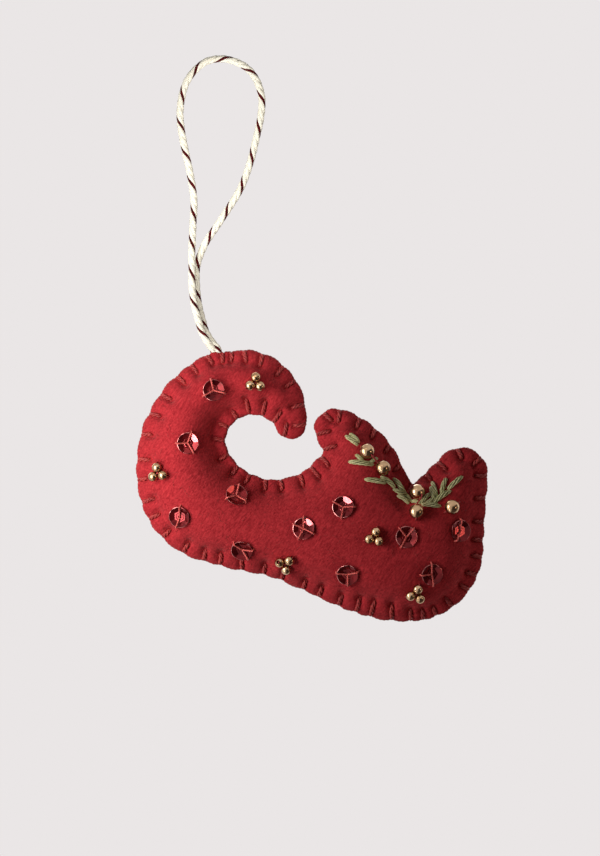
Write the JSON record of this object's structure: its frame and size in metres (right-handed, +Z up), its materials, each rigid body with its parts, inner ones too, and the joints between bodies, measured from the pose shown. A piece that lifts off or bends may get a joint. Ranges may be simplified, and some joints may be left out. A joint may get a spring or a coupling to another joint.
{
  "type": "felt boot ornament",
  "caption": "Stuffed felt elf boot with a curled toe, blanket-stitched edge, cup sequins, gold beads and an embroidered sprig, hung on a loop of two-colour twine.",
  "frame": {"origin": "the point where a hook bears on the inside of the top of the twine loop", "axes": "+Z up as it hangs, +X from the toe to the heel, -Y out of the decorated face"},
  "size_m": [0.0964, 0.0229, 0.1534],
  "materials": {
    "felt_red": "brushed wool felt",
    "filling_white": "loose fibre",
    "thread_red": "twisted cotton floss with a slight sheen",
    "sequin_red": "clear tinted film, mirror smooth",
    "bead_gold": "polished antique gold",
    "floss_green": "twisted cotton floss",
    "twine_cream": "cream cotton twine with one dark red strand"
  },
  "bodies": {
    "loop": {"hanging_loop": "twine_cream"},
    "boot": {"front_felt_panel": "felt_red", "back_felt_panel": "felt_red", "fibre_filling": "filling_white", "edge_stitch_thread": "thread_red", "twine_knot": "twine_cream", "sequin_1": "sequin_red", "sequin_2": "sequin_red", "sequin_3": "sequin_red", "sequin_4": "sequin_red", "sequin_5": "sequin_red", "sequin_6": "sequin_red", "sequin_7": "sequin_red", "sequin_8": "sequin_red", "sequin_9": "sequin_red", "sequin_10": "sequin_red", "sequin_11": "sequin_red", "sequin_tie_1": "thread_red", "sequin_tie_2": "thread_red", "sequin_tie_3": "thread_red", "sequin_tie_4": "thread_red", "sequin_tie_5": "thread_red", "sequin_tie_6": "thread_red", "sequin_tie_7": "thread_red", "sequin_tie_8": "thread_red", "sequin_tie_9": "thread_red", "sequin_tie_10": "thread_red", "sequin_tie_11": "thread_red", "seed_bead_1_1": "bead_gold", "seed_bead_1_2": "bead_gold", "seed_bead_1_3": "bead_gold", "seed_bead_2_1": "bead_gold", "seed_bead_2_2": "bead_gold", "seed_bead_2_3": "bead_gold", "seed_bead_3_1": "bead_gold", "seed_bead_3_2": "bead_gold", "seed_bead_3_3": "bead_gold", "seed_bead_4_1": "bead_gold", "seed_bead_4_2": "bead_gold", "seed_bead_4_3": "bead_gold", "seed_bead_5_1": "bead_gold", "seed_bead_5_2": "bead_gold", "seed_bead_5_3": "bead_gold", "seed_bead_tie_1": "thread_red", "seed_bead_tie_2": "thread_red", "seed_bead_tie_3": "thread_red", "seed_bead_tie_4": "thread_red", "seed_bead_tie_5": "thread_red", "garland_bead_front_1": "bead_gold", "garland_bead_front_2": "bead_gold", "garland_bead_middle_1": "bead_gold", "garland_bead_middle_2": "bead_gold", "garland_bead_back_1": "bead_gold", "garland_thread_front": "thread_red", "garland_thread_middle": "thread_red", "garland_thread_back": "thread_red", "sprig_leaf_top": "floss_green", "sprig_leaf_front": "floss_green", "sprig_stem": "floss_green"}
  },
  "joints": [
    {"name": "boot_swing", "type": "hinge", "parent": "loop", "child": "boot", "pos_m": [-0.0027, 0, -0.0754], "axis": [1, 0, 0], "range_deg": [-75, 75]}
  ]
}
